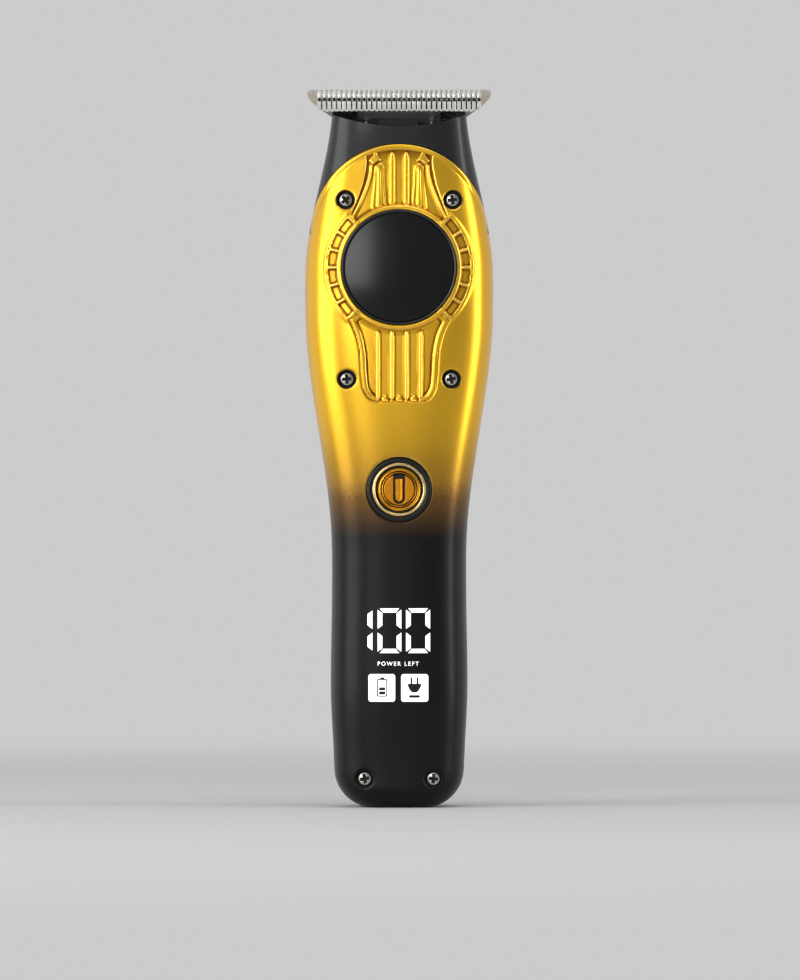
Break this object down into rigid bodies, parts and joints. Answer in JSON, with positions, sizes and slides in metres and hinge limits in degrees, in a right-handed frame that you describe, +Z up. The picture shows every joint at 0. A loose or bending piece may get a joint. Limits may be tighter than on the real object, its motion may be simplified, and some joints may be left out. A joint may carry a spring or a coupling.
{
  "type": "hair clipper",
  "caption": "Cordless hair clipper with a T-shaped blade, ribbed gold front cover fading to black, badge disc, power button and charge display.",
  "frame": {"origin": "centre of the base's bounding box, on the surface that the clipper stands on", "axes": "+Z up along the grip towards the blade, -Y towards the front with the badge and button, +X to the right as seen from the front"},
  "size_m": [0.0432, 0.034, 0.1639],
  "materials": {
    "two_tone_shell": "satin metallic gold fading to satin black towards the base",
    "black_shell": "satin",
    "black_hood": "satin",
    "gloss_black": "high gloss",
    "black_ring": "satin",
    "gold_metal": "brushed, clear lacquered",
    "blade_steel": "ground",
    "screw_steel": "nickel plated",
    "spring_steel": "drawn",
    "black_plastic": "moulded",
    "motor_steel": "zinc plated",
    "rotor_iron": "laminated",
    "magnet": "sintered",
    "bush_bronze": "sintered bronze",
    "board_green": "solder mask",
    "component_black": "moulded",
    "display_black": "moulded",
    "clear_guide": "clear",
    "chassis_grey": "moulded",
    "battery_wrap": "shrink sleeve",
    "nickel": "bright",
    "foam": "foam",
    "lead_red": "insulation"
  },
  "bodies": {
    "casing": {"front_cover": "two_tone_shell", "rear_shell": "black_shell", "head_housing": "black_hood", "badge_ring": "black_ring", "badge_disc": "gloss_black", "cover_screws": "screw_steel", "base_screws": "screw_steel", "fixed_blade": "blade_steel", "blade_bracket": "motor_steel", "blade_screws": "screw_steel", "tension_spring": "spring_steel", "motor_can": "motor_steel", "motor_magnets": "magnet", "motor_bushes": "bush_bronze", "motor_end_cap": "black_plastic", "motor_terminals": "nickel", "motor_holder": "chassis_grey", "motor_bracket": "motor_steel", "motor_screws": "screw_steel", "motor_leads": "lead_red", "button_bezel": "black_ring", "button_trim": "gold_metal", "tact_switch": "component_black", "circuit_board": "board_green", "board_components": "component_black", "led_display": "display_black", "light_guide": "clear_guide", "inner_chassis": "chassis_grey", "battery": "battery_wrap", "battery_tabs": "nickel", "battery_pad": "foam", "charge_port": "nickel", "charge_board": "board_green", "charge_leads": "lead_red"},
    "button": {"power_button": "gold_metal"},
    "rotor": {"motor_shaft": "spring_steel", "motor_rotor": "rotor_iron", "eccentric_cam": "black_plastic"},
    "cutter": {"cutter_blade": "blade_steel", "cutter_driver": "black_plastic"}
  },
  "joints": [
    {"name": "button_press", "type": "slide", "parent": "casing", "child": "button", "axis": [0, 1, 0], "range_m": [0, 0.0006], "stiffness_N_per_m": 2000},
    {"name": "motor_spin", "type": "hinge", "parent": "casing", "child": "rotor", "pos_m": [0, 0, 0.134], "axis": [0, 0, 1], "continuous": true},
    {"name": "cutter_slide", "type": "slide", "parent": "casing", "child": "cutter", "axis": [1, 0, 0], "range_m": [-0.0008, 0.0008]}
  ]
}
